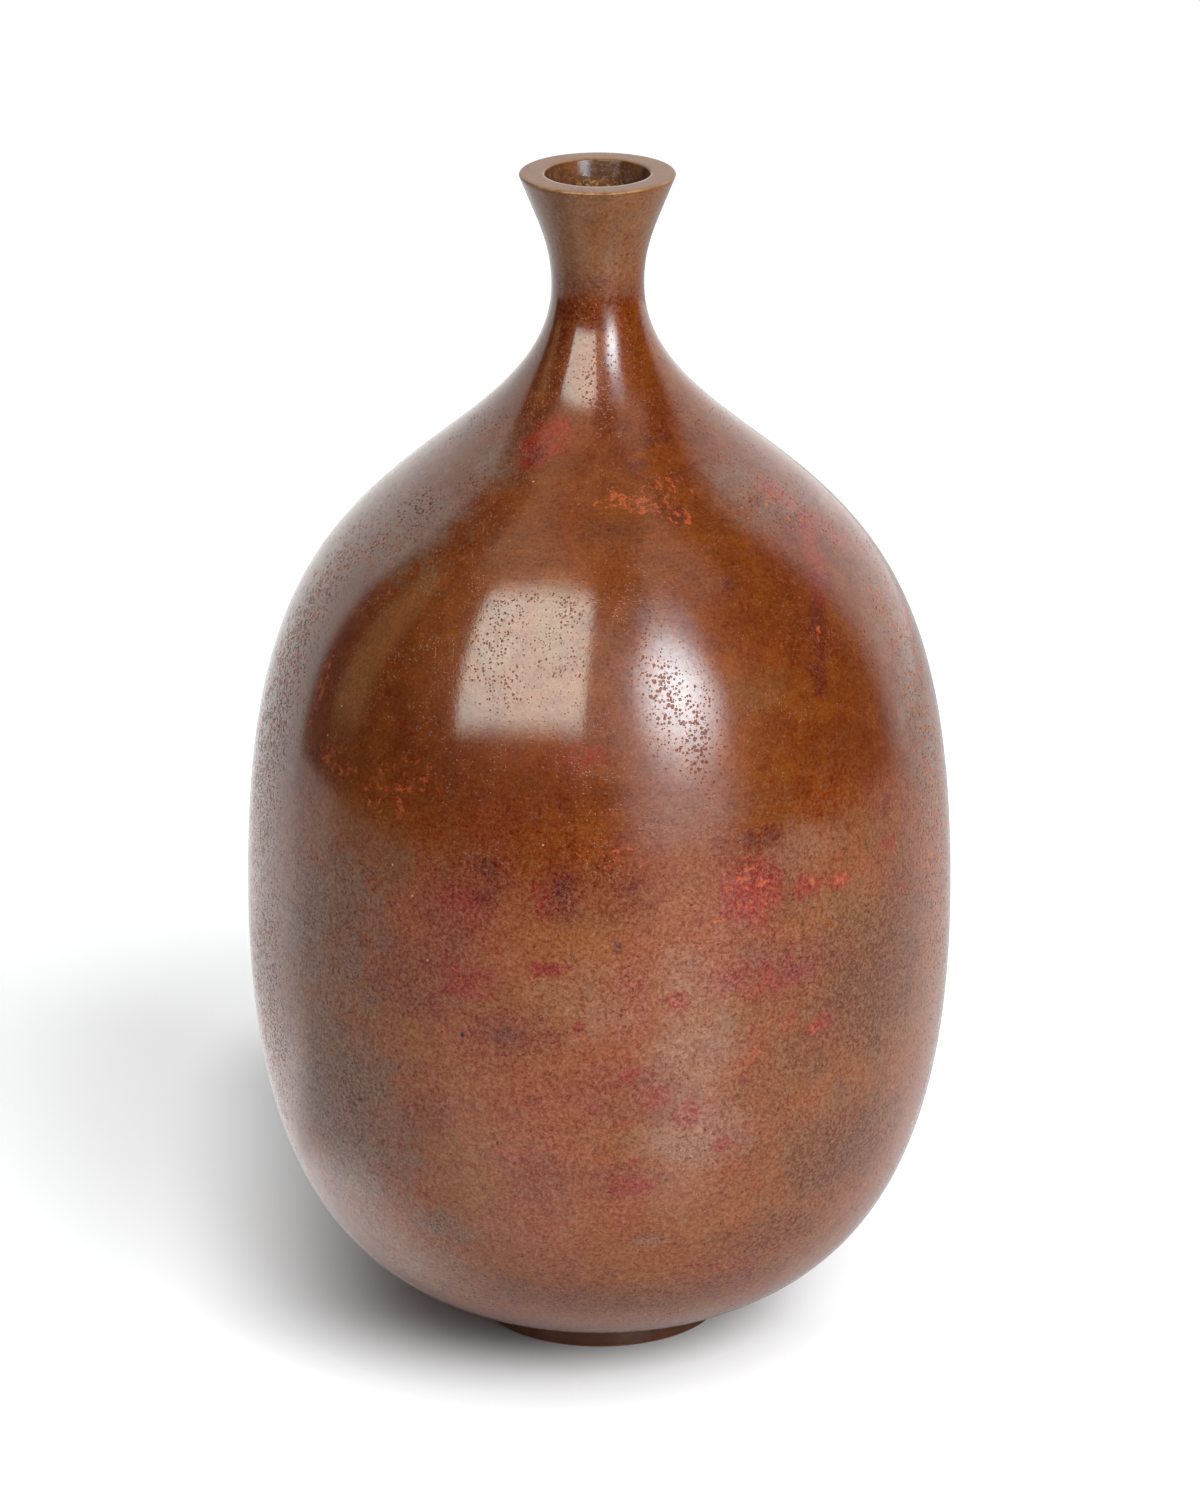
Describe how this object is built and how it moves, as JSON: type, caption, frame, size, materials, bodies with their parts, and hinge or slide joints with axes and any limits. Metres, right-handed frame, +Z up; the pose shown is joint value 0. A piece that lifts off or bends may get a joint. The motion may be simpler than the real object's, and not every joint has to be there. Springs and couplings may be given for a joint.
{
  "type": "bronze bottle vase",
  "caption": "Cast bronze bottle vase with a tall round belly, a narrow waisted neck, a flared thick-lipped mouth and a low turned foot ring.",
  "frame": {"origin": "centre of the foot ring's resting face, at the bottom of the vase", "axes": "+Z up along the turning axis, from the foot to the mouth"},
  "size_m": [0.1598, 0.1598, 0.27],
  "materials": {
    "patinated_bronze": "polished cast bronze with a mottled red-brown patina",
    "turned_bronze": "turned bronze with a dark brown patina",
    "plate_bronze": "dull brown bronze sheet",
    "brazing_metal": "dull brazing metal"
  },
  "bodies": {
    "root": {"body_shell": "patinated_bronze", "foot_ring": "turned_bronze", "base_plate": "plate_bronze", "foot_braze": "brazing_metal", "plate_braze": "brazing_metal"}
  },
  "joints": []
}
